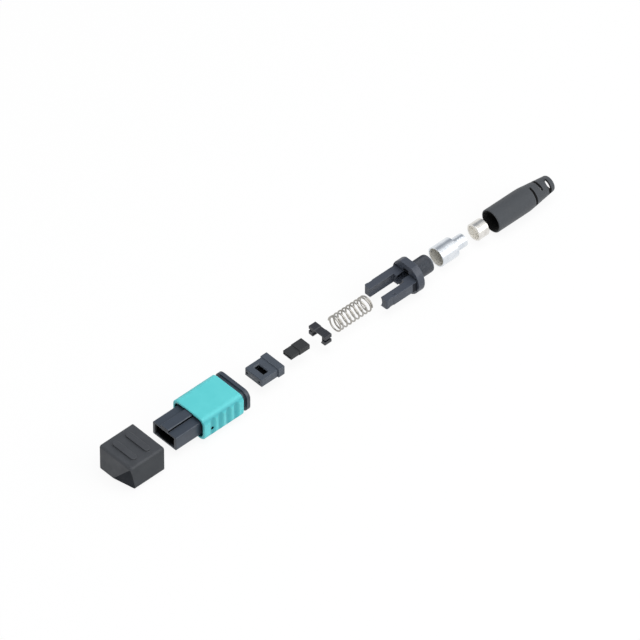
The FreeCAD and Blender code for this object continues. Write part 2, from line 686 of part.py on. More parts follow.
def make_crimp_tube(doc):
    """Stepped tube: wide end over the barrel, grooved neck for the ring."""
    tube = Piece(doc, "crimp_tube", "tube_station")
    wall_out = "Dim.tube_size / 2"
    neck_out = "Dim.tube_neck_size / 2"
    neck_in = "Dim.tube_neck_bore / 2"
    profile = [
        ("0", "Dim.tube_bore / 2"),
        ("0", wall_out),
        ("Dim.tube_step", wall_out),
        ("Dim.tube_step + Dim.tube_cone", neck_out),
    ]
    for number in range(NECK_GROOVE_COUNT):
        start = f"Dim.neck_groove_start + {number} * Dim.neck_groove_pitch"
        floor = f"{neck_out} - Dim.neck_groove_depth"
        profile.append((start, neck_out))
        profile.append((f"{start} + Dim.neck_groove_depth", floor))
        profile.append((f"{start} + Dim.neck_groove_length", floor))
        profile.append((f"{start} + Dim.neck_groove_length + Dim.neck_groove_depth", neck_out))
    profile += [
        ("Dim.tube_length", neck_out),
        ("Dim.tube_length", neck_in),
        ("Dim.tube_step + Dim.neck_groove_depth", neck_in),
        ("Dim.tube_step", "Dim.tube_bore / 2"),
    ]
    tube.revolve("wall", profile)
    return tube


def make_crimp_ring(doc):
    """Plain ring, beveled at both ends."""
    ring = Piece(doc, "crimp_ring", "ring_station")
    inner = "Dim.ring_bore / 2"
    outer = "Dim.ring_size / 2"
    brim = f"({outer} - Dim.ring_bevel)"
    profile = [
        ("0", inner),
        ("0", brim),
        ("Dim.ring_bevel", outer),
        ("Dim.ring_length - Dim.ring_bevel", outer),
        ("Dim.ring_length", brim),
        ("Dim.ring_length", inner),
    ]
    ring.revolve("band", profile)
    return ring


def make_strain_relief(doc):
    """Bend-limiting boot: straight sleeve, slotted taper, rounded cable end."""
    boot = Piece(doc, "strain_relief_boot", "relief_station")
    boot.body.Placement.Rotation = FreeCAD.Rotation(ALONG, 1)
    boot.body.setExpression("Placement.Rotation.Angle", "Dim.relief_roll")
    profile = [
        ("0", "Dim.relief_bore / 2"),
        ("0", "Dim.relief_size / 2"),
        ("Dim.relief_straight", "Dim.relief_size / 2"),
        ("Dim.relief_length", "Dim.relief_end_size / 2"),
        ("Dim.relief_length", "Dim.cable_bore / 2"),
        ("Dim.relief_counterbore", "Dim.cable_bore / 2"),
        ("Dim.relief_counterbore", "Dim.relief_bore / 2"),
    ]
    boot.revolve("wall", profile)
    end = DIMENSIONS["relief_length"]
    brim = DIMENSIONS["relief_end_size"] / 2
    rear = boot.arcs(lambda centre, radius: near(centre.x, end) and near(radius, brim))
    boot.dress("Fillet", "cable_end", rear, "Dim.relief_end_radius")
    for number in range(RELIEF_SLOT_COUNT):
        cut_relief_slot(boot, number)
    return boot


def cut_relief_slot(boot, number):
    """One pair of flexing slots; successive pairs are a quarter turn apart."""
    last = number == RELIEF_SLOT_COUNT - 1
    length = "Dim.relief_last_slot_length" if last else "Dim.relief_slot_length"
    start = f"Dim.relief_slot_start + {number} * Dim.relief_slot_pitch"
    role = "XY_Plane" if number % 2 else "XZ_Plane"
    reach = f"(Dim.relief_slot_reach - {number} * Dim.relief_slot_length)"
    slot = boot.sketch(f"slot_{number + 1}", role)
    boot.add_outline(slot, span(start, length, f"-{reach} / 2", f"{reach} / 2"))
    boot.extrude("Pocket", f"slot_{number + 1}", slot, "2 * Dim.relief_size", both=True)


def check_document(doc, pieces):
    """Stops the build if any feature failed or any piece isn't one valid solid."""
    for item in doc.Objects:
        if "Invalid" in item.State or "Error" in item.State:
            raise RuntimeError(f"{item.Label} failed: {item.State}")
    for piece in pieces:
        shape = piece.body.Shape
        if shape.isNull() or not shape.isValid() or len(shape.Solids) != 1:
            raise RuntimeError(f"{piece.body.Label} isn't one valid solid")


def main():
    doc = FreeCAD.newDocument("Connector")
    write_sheet(doc)
    pieces = [
        make_dust_cap(doc),
        make_inner_housing(doc),
        make_coupling_sleeve(doc),
        make_mt_ferrule(doc),
        make_ferrule_boot(doc),
        make_pin_keeper(doc),
        make_main_spring(doc),
        make_spring_push(doc),
        make_crimp_tube(doc),
        make_crimp_ring(doc),
        make_strain_relief(doc),
    ]
    pieces += [make_coupling_spring(doc, side, sign) for side, sign in SIDES.items()]
    doc.recompute()
    check_document(doc, pieces)
    os.makedirs("parts", exist_ok=True)
    for piece in pieces:
        piece.body.Shape.exportStep(f"parts/{piece.body.Label}.step")
        print(f"{piece.body.Label}: {piece.body.Shape.Volume:.2f} mm3")


main()
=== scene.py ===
import logging
import math
from dataclasses import dataclass, field, replace
from enum import Enum

import bmesh
import bpy
from mathutils import Matrix, Vector


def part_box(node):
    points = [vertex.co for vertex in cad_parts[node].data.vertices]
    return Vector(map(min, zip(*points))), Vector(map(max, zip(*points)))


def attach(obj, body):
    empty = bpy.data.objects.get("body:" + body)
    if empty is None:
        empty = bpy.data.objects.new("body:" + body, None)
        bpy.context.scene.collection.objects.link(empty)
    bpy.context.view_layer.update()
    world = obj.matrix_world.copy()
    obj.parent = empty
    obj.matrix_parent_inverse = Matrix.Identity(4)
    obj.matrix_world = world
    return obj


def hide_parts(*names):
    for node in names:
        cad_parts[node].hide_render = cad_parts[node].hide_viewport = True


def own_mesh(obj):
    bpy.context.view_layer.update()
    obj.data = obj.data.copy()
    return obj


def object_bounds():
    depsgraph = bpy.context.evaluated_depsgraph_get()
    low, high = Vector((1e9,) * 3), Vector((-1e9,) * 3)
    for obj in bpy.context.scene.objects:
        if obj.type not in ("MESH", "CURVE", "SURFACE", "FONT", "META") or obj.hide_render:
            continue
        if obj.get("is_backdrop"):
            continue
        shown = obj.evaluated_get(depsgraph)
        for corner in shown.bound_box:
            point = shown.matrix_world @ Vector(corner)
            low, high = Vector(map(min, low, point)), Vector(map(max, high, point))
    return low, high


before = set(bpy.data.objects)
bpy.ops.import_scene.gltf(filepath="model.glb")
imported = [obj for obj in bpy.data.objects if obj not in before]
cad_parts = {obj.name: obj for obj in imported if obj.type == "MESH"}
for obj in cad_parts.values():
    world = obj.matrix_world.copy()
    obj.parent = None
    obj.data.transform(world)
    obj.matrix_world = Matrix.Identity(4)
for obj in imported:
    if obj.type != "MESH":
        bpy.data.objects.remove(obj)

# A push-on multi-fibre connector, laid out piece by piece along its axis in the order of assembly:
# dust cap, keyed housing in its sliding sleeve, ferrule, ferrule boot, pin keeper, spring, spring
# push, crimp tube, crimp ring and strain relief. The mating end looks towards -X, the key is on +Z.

log = logging.getLogger("connector")
MM = 0.001  # every size below is written in millimetres and built in metres
FRONT, BACK = (-1.0, 0.0, 0.0), (1.0, 0.0, 0.0)  # the ways that flat faces look
RIGHT, LEFT = (0.0, -1.0, 0.0), (0.0, 1.0, 0.0)  # as seen from the mating end towards the cable
CAP_FACET = (-0.962, -0.209, -0.176)  # the way the cap's twisted facet looks
FULL_SPECULAR = 0.5  # the shader's usual specular level
PATTERN = (0.3, 0.7)  # the values that most of a noise pattern lies between
BORE = (-0.45, -0.2)  # how far inward a wall looks, from surely a bore to surely not
LEVEL = (0.985, 0.992)  # cosines between which a face comes to count as looking one way
EDGE_SAMPLES, METAL_EDGE_SAMPLES = 6, 12  # rays that feel for nearby edges
SHARP_DEG = 40.0  # edges over this angle stay crisp on a smooth piece

Tree = bpy.types.NodeTree
Socket = bpy.types.NodeSocket


class Slot(Enum):
    """Material slot names for the scene's own pieces, which nothing in this script reads."""

    FERRULE = "ferrule_resin"
    PUSH = "push_plastic"
    RUBBER = "boot_rubber"
    WIRE = "spring_wire"


# ---------------------------------------------------------------- colours and nodes


def linear(hex_colour: str) -> tuple[float, float, float, float]:
    """Turns an sRGB hex colour into linear values.

    Args:
        hex_colour: Six hex digits with a leading hash.

    Returns:
        Linear red, green, blue and an alpha of one.
    """
    parts = [int(hex_colour[i:i + 2], 16) / 255 for i in (1, 3, 5)]
    return (*(p / 12.92 if p <= 0.04045 else ((p + 0.055) / 1.055) ** 2.4 for p in parts), 1.0)


def add(tree: Tree, kind: str, sockets: dict | None = None, **settings) -> bpy.types.Node:
    """Adds one node to a tree.

    Args:
        tree: The node tree.
        kind: The node's type name, without its ShaderNode prefix.
        sockets: Input name or number to a value, or to the output that feeds it.
        settings: The node's own settings.

    Returns:
        The node.
    """
    node = tree.nodes.new("ShaderNode" + kind)
    for name, value in settings.items():
        setattr(node, name, value)
    for key, value in (sockets or {}).items():
        if isinstance(value, bpy.types.NodeSocket):
            tree.links.new(value, node.inputs[key])
        else:
            node.inputs[key].default_value = value
    return node


def blank(name: str) -> tuple[bpy.types.Material, Tree, bpy.types.Node]:
    """Makes an empty material.

    Args:
        name: The finish's name.

    Returns:
        The material, its tree and its output node.
    """
    material = bpy.data.materials.new(name)
    material.use_nodes = True
    material.node_tree.nodes.clear()
    return material, material.node_tree, add(material.node_tree, "OutputMaterial")


def surface(tree: Tree, output: bpy.types.Node, **sockets) -> None:
    """Ends a material with its one shader.

    Args:
        tree: The material's tree.
        output: Its output node.
        sockets: The shader's inputs, with underscores for the spaces in their names.
    """
    shader = add(tree, "BsdfPrincipled", {name.replace("_", " "): value
                                          for name, value in sockets.items()})
    tree.links.new(shader.outputs[0], output.inputs["Surface"])


def ramp(tree: Tree, value: Socket, low: float, high: float, start: float, end: float) -> Socket:
    """Spreads a value from one range to another.

    Args:
        tree: The node tree.
        value: What is spread.
        low: The value that gives start.
        high: The value that gives end.
        start: The result at low.
        end: The result at high.

    Returns:
        The output socket, clamped to start and end.
    """
    return add(tree, "MapRange", {"Value": value, "From Min": low, "From Max": high,
                                  "To Min": start, "To Max": end}).outputs["Result"]


def swing(tree: Tree, pattern: Socket, middle: float, spread: float) -> Socket:
    """Lets a value swing with a noise pattern.

    Args:
        tree: The node tree.
        pattern: The pattern.
        middle: The value's middle.
        spread: How far it goes to either side.

    Returns:
        The value's socket.
    """
    return ramp(tree, pattern, *PATTERN, middle - spread, middle + spread)


def maths(tree: Tree, operation: str, first: Socket | float, second: Socket | float = 0.0
          ) -> Socket:
    """Works on one or two numbers.

    Args:
        tree: The node tree.
        operation: The operation's name.
        first: The first number.
        second: The second, where the operation has one.

    Returns:
        The result's socket.
    """
    return add(tree, "Math", {0: first, 1: second}, operation=operation).outputs[0]


def times(tree: Tree, first: Socket, *rest: Socket) -> Socket:
    """Multiplies factors.

    Args:
        tree: The node tree.
        first: The first factor.
        rest: The others.

    Returns:
        The product's socket.
    """
    for factor in rest:
        first = maths(tree, "MULTIPLY", first, factor)
    return first


def vectors(tree: Tree, operation: str, first: Socket, second: Socket | tuple = (0.0, 0.0, 0.0)
            ) -> Socket:
    """Works on one or two vectors.

    Args:
        tree: The node tree.
        operation: The operation's name.
        first: The first vector.
        second: The second, where the operation has one.

    Returns:
        The socket of the resulting vector, or of the number for a dot product or a distance.
    """
    node = add(tree, "VectorMath", {0: first, 1: second}, operation=operation)
    return node.outputs["Value" if operation in ("DOT_PRODUCT", "DISTANCE") else "Vector"]


def noise(tree: Tree, place: Socket, size_mm: float, detail: float = 2.0, roughness: float = 0.5
          ) -> Socket:
    """Makes a noise pattern of a real size.

    Args:
        tree: The node tree.
        place: The coordinates, in metres.
        size_mm: The size of the pattern's largest spots.
        detail: How many finer layers it has.
        roughness: How strong those are.

    Returns:
        The pattern's socket, from zero to one.
    """
    return add(tree, "TexNoise", {"Vector": place, "Scale": 1 / (size_mm * MM), "Detail": detail,
                                  "Roughness": roughness}).outputs["Fac"]


def stretched(tree: Tree, place: Socket, scale: tuple[float, float, float]) -> Socket:
    """Stretches coordinates, so that a pattern runs along the axes with the lowest scale."""
    return add(tree, "Mapping", {"Vector": place, "Scale": scale}).outputs["Vector"]


def mix(tree: Tree, factor: Socket, first: Socket | tuple, second: Socket | tuple,
        data_type: str = "RGBA") -> Socket:
    """Mixes two colours, or two vectors.

    Args:
        tree: The node tree.
        factor: The share of the second one.
        first: The first one.
        second: The second one.
        data_type: RGBA for colours and VECTOR for vectors.

    Returns:
        The mixture's socket.
    """
    return add(tree, "Mix", {"Factor": factor, "A": first, "B": second},
               data_type=data_type).outputs["Result"]


def patches(tree: Tree, pattern: Socket, reach: tuple[float, float], first: str, second: str
            ) -> Socket:
    """Lays patches of one colour over another.

    Args:
        tree: The node tree.
        pattern: The pattern that places them.
        reach: The pattern's values that show the first colour alone and the second alone.
        first: The first hex colour.
        second: The second.

    Returns:
        The colour's socket.
    """
    return mix(tree, ramp(tree, pattern, *reach, 0.0, 1.0), linear(first), linear(second))


def rounded_edges(tree: Tree, edge_mm: float, samples: int = EDGE_SAMPLES) -> Socket:
    """Makes the normal of a surface whose edges are rounded off over edge_mm."""
    return add(tree, "Bevel", {"Radius": edge_mm * MM}, samples=samples).outputs["Normal"]


def embossed(tree: Tree, strength: float, depth_mm: float, height: Socket,
             normal: Socket | None = None) -> Socket:
    """Makes the normal of a surface with a fine relief.

    Args:
        tree: The node tree.
        strength: The relief's strength.
        depth_mm: Its depth.
        height: Its pattern.
        normal: The normal that it is laid on, if not the surface's own.

    Returns:
        The normal's socket.
    """
    sockets = {"Strength": strength, "Distance": depth_mm * MM, "Height": height}
    if normal is not None:
        sockets["Normal"] = normal
    return add(tree, "Bump", sockets).outputs["Normal"]


# ---------------------------------------------------------------- tones


def outward(tree: Tree) -> Socket:
    """Measures how squarely a face looks away from the connector's axis.

    Args:
        tree: The node tree.

    Returns:
        One on an outer face, minus one in a bore, zero on a face that looks along the axis.
    """
    place = add(tree, "TexCoord").outputs
    across = vectors(tree, "MULTIPLY", place["Object"], (0.0, 1.0, 1.0))
    return vectors(tree, "DOT_PRODUCT", vectors(tree, "NORMALIZE", across), place["Normal"])


def front_mm(node: str) -> float:
    """Gives the station of a node's front end, or zero for no node, in millimetres."""
    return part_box(node)[0][0] / MM if node else 0.0


@dataclass(frozen=True)
class BorePaintedTone:
    """Painted shade on walls that look towards the axis, where little light comes in; the metals'
    pale bore colours are painted light there instead.
    """

    colour: str
    shine: float = 0.15

    def where(self, tree: Tree) -> Socket:
        """Makes the factor that is one on such walls."""
        return ramp(tree, outward(tree), *BORE, 1.0, 0.0)


@dataclass(frozen=True)
class PlaneTone:
    """Painted shade on flat faces that look one way, all of them or those between two stations.

    Stations along X are measured from the front of a node, when one is named.
    """

    colour: str
    direction: tuple[float, float, float]
    axis: str = "X"
    between_mm: tuple[float, float] = (-1000.0, 1000.0)
    node: str = ""
    shine: float = 0.15

    def where(self, tree: Tree) -> Socket:
        """Makes the factor that is one on such faces."""
        flat = add(tree, "NewGeometry").outputs["True Normal"]
        alike = vectors(tree, "DOT_PRODUCT", flat, self.direction)
        place = add(tree, "TexCoord").outputs["Object"]
        at = add(tree, "SeparateXYZ", {0: place}).outputs[self.axis]
        low, high = ((front_mm(self.node) + end) * MM for end in self.between_mm)
        return times(tree, ramp(tree, alike, *LEVEL, 0.0, 1.0),
                     maths(tree, "GREATER_THAN", at, low), maths(tree, "LESS_THAN", at, high))


@dataclass(frozen=True)
class GripPaintedShade:
    """Painted shade in the scallops of both sides, deepest where the scallop is deepest."""

    colour: str
    side_mm: float
    depth_mm: float
    square: tuple[float, float] = (0.45, 0.8)
    shine: float = 1.0

    def where(self, tree: Tree) -> Socket:
        """Makes the factor that grows with the depth of the scallop."""
        place = add(tree, "TexCoord").outputs
        across = (add(tree, "SeparateXYZ", {0: place[kind]}).outputs["Y"]
                  for kind in ("Object", "Normal"))
        out, turned = (maths(tree, "ABSOLUTE", value) for value in across)
        deep = ramp(tree, out, (self.side_mm - self.depth_mm) * MM, self.side_mm * MM, 1.0, 0.0)
        return times(tree, deep, ramp(tree, turned, *self.square, 0.0, 1.0))


@dataclass(frozen=True)
class HolePaintedShade:
    """Painted shade of a small round hole, seen along Y, on both sides of a node; the sleeve's hole
    is cut in one side only.
    """

    colour: str
    node: str
    centre_mm: tuple[float, float]
    radius_mm: float
    soft: float = 1.15
    shine: float = 0.1

    def where(self, tree: Tree) -> Socket:
        """Makes the factor that is one within the hole."""
        flat = vectors(tree, "MULTIPLY", add(tree, "TexCoord").outputs["Object"], (1.0, 0.0, 1.0))
        along, up = self.centre_mm
        centre = ((front_mm(self.node) + along) * MM, 0.0, up * MM)
        return ramp(tree, vectors(tree, "DISTANCE", flat, centre), self.radius_mm * MM,
                    self.radius_mm * self.soft * MM, 1.0, 0.0)


def toned(tree: Tree, colour: Socket, tones: tuple) -> tuple[Socket, Socket]:
    """Lays painted tones over a colour: painted shade, and in the metal bores painted light.

    Args:
        tree: The node tree.
        colour: The colour's socket.
        tones: The painted tones, the last one on top.

    Returns:
        The socket of the colour with its painted light and shade, and one for the specular level,
        which falls where a tone is dull.
    """
    level = add(tree, "Value")
    level.outputs[0].default_value = FULL_SPECULAR
    shine = level.outputs[0]
    for tone in tones:
        where = tone.where(tree)
        colour = mix(tree, where, colour, linear(tone.colour))
        shine = times(tree, shine, ramp(tree, where, 0.0, 1.0, 1.0, tone.shine))
    return colour, shine


# ---------------------------------------------------------------- finishes


@dataclass(frozen=True)
class MouldedPlastic:
    """Injection-moulded engineering plastic with a spark-eroded grain, softly polished edges paler
    from wear and a painted highlight, and painted shade from its tones.
    """

    name: str
    colour: str
    shade: str
    # the edges' colour, paler from wear and from a painted highlight
    edge: str
    grain_mm: float = 0.22
    mottle_mm: float = 3.0
    shade_at: tuple[float, float] = (0.35, 0.65)  # the mottle's values that bring in the shade
    edge_mm: float = 0.12
    wear_and_highlight_at: tuple[float, float] = (0.995, 0.86)  # cosines to the rounded edge: plain, and full wear with painted highlight
    wear_and_highlight_patch_at: tuple[float, float] = (0.3, 0.6)  # the mottle's values that bring the paler edge least and fully
    least_wear_and_highlight: float = 0.35
    edge_gloss: float = 0.08
    roughness: float = 0.5
    spread: float = 0.06
    bump: float = 0.25
    depth_mm: float = 0.012
    fleck: str = ""
    fleck_mm: float = 0.12
    fleck_at: tuple[float, float] = (0.10, 0.24)  # from a speck's middle to its rim
    fleck_share: float = 0.55
    flow_mm: float = 0.0
    flow_stretch: tuple[float, float, float] = (0.15, 1.0, 1.0)
    ior: float = 1.5
    tones: tuple = ()
    planes: tuple = ()

    def build(self) -> bpy.types.Material:
        """Makes the material.

        Returns:
            A material of moulding grain, a faint mottle, edges paler from wear and a painted
            highlight, and painted shade from its tones.
        """
        material, tree, output = blank(self.name)
        place = add(tree, "TexCoord").outputs["Object"]
        grain = noise(tree, place, self.grain_mm, detail=3.0, roughness=0.55)
        mottle = noise(tree, place, self.mottle_mm, detail=5.0, roughness=0.6)
        colour = patches(tree, mottle, self.shade_at, self.colour, self.shade)
        if self.fleck:
            # short glass fibres and filler show at the skin as pale specks
            specks = add(tree, "TexVoronoi", {"Vector": place, "Scale": 1 / (self.fleck_mm * MM)},
                         feature="F1").outputs["Distance"]
            share = ramp(tree, specks, *self.fleck_at, self.fleck_share, 0.0)
            colour = mix(tree, share, colour, linear(self.fleck))
        # handled edges are rubbed paler and smoother than the faces beside them; the paler colour
        # there is also a painted highlight on every edge
        normal = rounded_edges(tree, self.edge_mm)
        facing = vectors(tree, "DOT_PRODUCT", normal, add(tree, "NewGeometry").outputs["Normal"])
        worn_and_highlit = times(tree, ramp(tree, facing, *self.wear_and_highlight_at, 0.0, 1.0),
                     ramp(tree, mottle, *self.wear_and_highlight_patch_at, self.least_wear_and_highlight, 1.0))
        colour = mix(tree, worn_and_highlit, colour, linear(self.edge))
        # painted shade where the tones lie
        colour, shine = toned(tree, colour, self.tones)
        gloss = maths(tree, "SUBTRACT", swing(tree, mottle, self.roughness, self.spread),
                      maths(tree, "MULTIPLY", worn_and_highlit, self.edge_gloss))
        height = grain
        if self.flow_mm:
            # faint flow marks where the melt ran along the mould
            flow = noise(tree, stretched(tree, place, self.flow_stretch), self.flow_mm)
            height = maths(tree, "ADD", grain, flow)
        for plane in self.planes:
            # the ridge between two nearly level faces stays crisp
            normal = mix(tree, plane.where(tree), normal,
                         add(tree, "NewGeometry").outputs["True Normal"], data_type="VECTOR")
        surface(tree, output, Base_Color=colour, Roughness=gloss, IOR=self.ior,
                Specular_IOR_Level=shine,
                Normal=embossed(tree, self.bump, self.depth_mm, height, normal))
        return material


@dataclass(frozen=True)
class MouldedRubber:
    """Matt thermoplastic rubber: soft sheen, powdery grain, no sharp highlight anywhere."""

    name: str
    colour: str
    bloom: str
    grain_mm: float = 0.18
    mottle_mm: float = 4.0
    bloom_at: tuple[float, float] = (0.4, 0.7)  # the mottle's values that bring in the bloom
    edge_mm: float = 0.18
    roughness: float = 0.72
    spread: float = 0.07
    bump: float = 0.35
    depth_mm: float = 0.015
    sheen: float = 0.12
    sheen_roughness: float = 0.6
    ior: float = 1.5
    tones: tuple = ()

    def build(self) -> bpy.types.Material:
        """Makes the material.

        Returns:
            A material of matt rubber with a pale bloom in patches, and painted shade where its
            tones lie.
        """
        material, tree, output = blank(self.name)
        place = add(tree, "TexCoord").outputs["Object"]
        grain = noise(tree, place, self.grain_mm, detail=4.0, roughness=0.6)
        mottle = noise(tree, place, self.mottle_mm, detail=5.0, roughness=0.65)
        colour = patches(tree, mottle, self.bloom_at, self.colour, self.bloom)
        # painted shade where the tones lie
        colour, shine = toned(tree, colour, self.tones)
        surface(tree, output, Base_Color=colour, IOR=self.ior, Specular_IOR_Level=shine,
                Roughness=swing(tree, mottle, self.roughness, self.spread),
                Sheen_Weight=self.sheen, Sheen_Roughness=self.sheen_roughness,
                Normal=embossed(tree, self.bump, self.depth_mm, grain,
                                rounded_edges(tree, self.edge_mm)))
        return material


@dataclass(frozen=True)
class TurnedMetal:
    """Plated or tinned turned metal: rings left by the tool, bright lips, a duller reamed bore
    whose pale colour is painted light.
    """

    name: str
    colour: str
    tarnish: str
    # the bore's pale colour, painted light inside the bore
    bore: str
    ring_mm: float = 0.30
    ring_stretch: tuple[float, float, float] = (1.0, 0.03, 0.03)
    ring_spread: float = 0.04
    smear_mm: float = 1.6
    tarnish_at: tuple[float, float] = (0.42, 0.72)  # the smear's values that bring it in
    edge_mm: float = 0.10
    roughness: float = 0.22
    spread: float = 0.03
    bore_dull: float = 0.4
    bore_metallic: float = 0.15
    bump: float = 0.025
    depth_mm: float = 0.004

    def build(self) -> bpy.types.Material:
        """Makes the material.

        Returns:
            A metal with turning rings along X and patches of dulled plating.
        """
        material, tree, output = blank(self.name)
        place = add(tree, "TexCoord").outputs["Object"]
        # the tool's feed is finer than can be seen, so the rings are drawn at ring_mm
        rings = noise(tree, stretched(tree, place, self.ring_stretch), self.ring_mm)
        smear = noise(tree, place, self.smear_mm, detail=4.0, roughness=0.6)
        colour = patches(tree, smear, self.tarnish_at, self.colour, self.tarnish)
        # painted light: the bore's pale colour lightens the inside of the bore
        colour, _ = toned(tree, colour, (BorePaintedTone(self.bore),))
        gloss = maths(tree, "ADD", swing(tree, smear, self.roughness, self.spread),
                      swing(tree, rings, 0.0, self.ring_spread))
        gloss = maths(tree, "ADD", gloss, ramp(tree, outward(tree), *BORE, self.bore_dull, 0.0))
        surface(tree, output, Base_Color=colour, Roughness=gloss,
                Metallic=ramp(tree, outward(tree), *BORE, self.bore_metallic, 1.0),
                Normal=embossed(tree, self.bump, self.depth_mm, rings,
                                rounded_edges(tree, self.edge_mm, METAL_EDGE_SAMPLES)))
        return material


@dataclass(frozen=True)
class DrawnWire:
    """Stainless spring wire, drawn through a die and left bright, faintly tinted by heat."""

    name: str
    colour: str
    heat: str
    streak_mm: float = 0.5
    heat_mm: float = 2.5
    heat_at: tuple[float, float] = (0.4, 0.65)  # the tint's values that bring in the heat
    roughness: float = 0.28
    spread: float = 0.03
    bump: float = 0.06
    depth_mm: float = 0.003

    def build(self) -> bpy.types.Material:
        """Makes the material.

        Returns:
            A bright metal with fine die marks.
        """
        material, tree, output = blank(self.name)
        place = add(tree, "TexCoord").outputs["Object"]
        streaks = noise(tree, place, self.streak_mm, detail=3.0, roughness=0.6)
        tint = noise(tree, place, self.heat_mm)
        surface(tree, output, Base_Color=patches(tree, tint, self.heat_at, self.colour, self.heat),
                Metallic=1.0, Roughness=swing(tree, streaks, self.roughness, self.spread),
                Normal=embossed(tree, self.bump, self.depth_mm, streaks))
        return material


@dataclass(frozen=True)
class CleavedGlass:
    """Polished ends of glass fibre, with a slight haze from polishing."""

    name: str
    colour: str
    haze: str
    haze_mm: float = 0.06
    roughness: float = 0.17
    spread: float = 0.05
    ior: float = 1.46

    def build(self) -> bpy.types.Material:
        """Makes the material.

        Returns:
            A glossy pale dielectric.
        """
        material, tree, output = blank(self.name)
        haze = noise(tree, add(tree, "TexCoord").outputs["Object"], self.haze_mm)
        surface(tree, output, Base_Color=mix(tree, haze, linear(self.colour), linear(self.haze)),
                IOR=self.ior, Roughness=swing(tree, haze, self.roughness, self.spread))
        return material


# dust cap: soft moulded polyethylene, dark grey, the plainest and least glossy of the plastics,
# with painted shade in its bore, on its right side and on its twisted front facet
CAP_PE = MouldedPlastic("moulded_grey_polyethylene", "#36393e", "#313439", "#42454a",
                        roughness=0.62, bump=0.3, mottle_mm=4.0, edge_mm=0.4,
                        tones=(BorePaintedTone("#15171a"), PlaneTone("#2b2f34", RIGHT, shine=0.8),
                               PlaneTone("#1b1f25", CAP_FACET)),
                        planes=(PlaneTone("", CAP_FACET), PlaneTone("", FRONT)))
# housing: black glass-filled polyester, tight grain, bluish all over as a painted reflection of the
# sky, with painted shade in its bore and on both flanks of the key
HOUSING_PBT = MouldedPlastic("moulded_black_polyester", "#333c48", "#2d3642", "#434a56",
                             roughness=0.42, edge_mm=0.14, flow_mm=0.8,
                             tones=(BorePaintedTone("#0b0c0e"),
                                    PlaneTone("#121418", RIGHT, "Y", (-1.6, -1.4)),
                                    PlaneTone("#121418", LEFT, "Y", (1.4, 1.6))))
# sleeve: aqua ABS, clean and even, with a soft satin shine, and painted shade in its grips, on its
# inner walls and as a dark spot for its dimple on both sides
SLEEVE_ABS = MouldedPlastic("moulded_aqua_abs", "#5dcbcf", "#56c6ca", "#74d5d8", roughness=0.45,
                            bump=0.14, grain_mm=0.3, mottle_mm=5.0, edge_mm=0.3, ior=1.46,
                            tones=(GripPaintedShade("#35a3ab", side_mm=6.2, depth_mm=0.45),
                                   BorePaintedTone("#1d6f76"),
                                   HolePaintedShade("#0a2629", "coupling_sleeve", (3.1, -0.8), 0.46)))
# ferrule: grey polyphenylene sulphide with glass filler that specks its ground faces, with painted
# shade in its holes and pale edges that are partly a painted highlight
FERRULE_PPS = MouldedPlastic("moulded_filled_pps", "#404853", "#39414b", "#6b7480", roughness=0.45,
                             fleck="#66707c", fleck_mm=0.16, edge_mm=0.12,
                             tones=(BorePaintedTone("#101215"),))
# keeper and push: blue-grey polyetherimide, a little glossier, with flow marks along the arms; the
# push has painted shade on its flange's front face and at the roots of its arms
KEEPER_PEI = MouldedPlastic("moulded_charcoal_pei", "#22242b", "#1d1f26", "#393c44",
                            roughness=0.42, flow_mm=0.5)
PUSH_PEI = MouldedPlastic("moulded_slate_pei", "#3e444f", "#373d48", "#515763", roughness=0.45,
                          flow_mm=0.8, edge_mm=0.22,
                          tones=(PlaneTone("#14161a", FRONT, "X", (11.2, 11.6), "spring_push"),
                                 PlaneTone("#1c1f26", RIGHT, "X", (9.4, 11.05), "spring_push"),
                                 PlaneTone("#1c1f26", LEFT, "X", (9.4, 11.05), "spring_push")))
KNURL_PEI = replace(PUSH_PEI, name="knurled_slate_pei", colour="#2c323a", shade="#272c34",
                    edge="#434952", edge_mm=0.02, bump=0.4)
# strain relief and ferrule boot: black rubbers; the relief has painted shade in its bore and,
# darkest, on the walls of its slots
BOOT_TPE = MouldedRubber("moulded_black_tpe", "#33373c", "#3b3f44",
                         tones=(BorePaintedTone("#060607"),
                                *(PlaneTone("#08090a", way, "X", (13.0, 20.5), "strain_relief_boot")
                                  for way in (BACK, FRONT))))
FERRULE_RUBBER = MouldedRubber("moulded_black_silicone", "#14171a", "#1b1e21", roughness=0.6,
                               sheen=0.03)
# crimp parts, springs and fibres; the crimp parts' pale bore colours are painted light inside their
# bores
NICKEL = TurnedMetal("nickel_plated_turned_brass", "#e4e8ec", "#d3d8df", bore="#dfddd6")
SOFT_TIN = TurnedMetal("annealed_tinned_copper", "#e6e4e0", "#d2cfca", bore="#f4f1ea",
                       roughness=0.2, ring_mm=0.4)
STAINLESS = DrawnWire("drawn_stainless_wire", "#b4b2ad", "#a29e97", roughness=0.34, bump=0.03)
FIBRE_END = CleavedGlass("polished_fibre_ends", "#cfd6da", "#b4bdc3")


# ---------------------------------------------------------------- shared building


def metres(*values: float) -> Vector:
    """Turns three millimetre values into a vector in metres."""
    return Vector(values) * MM


def show(item: bpy.types.Object) -> bpy.types.Object:
    """Links an object to the scene, and gives it back."""
    bpy.context.scene.collection.objects.link(item)
    return item


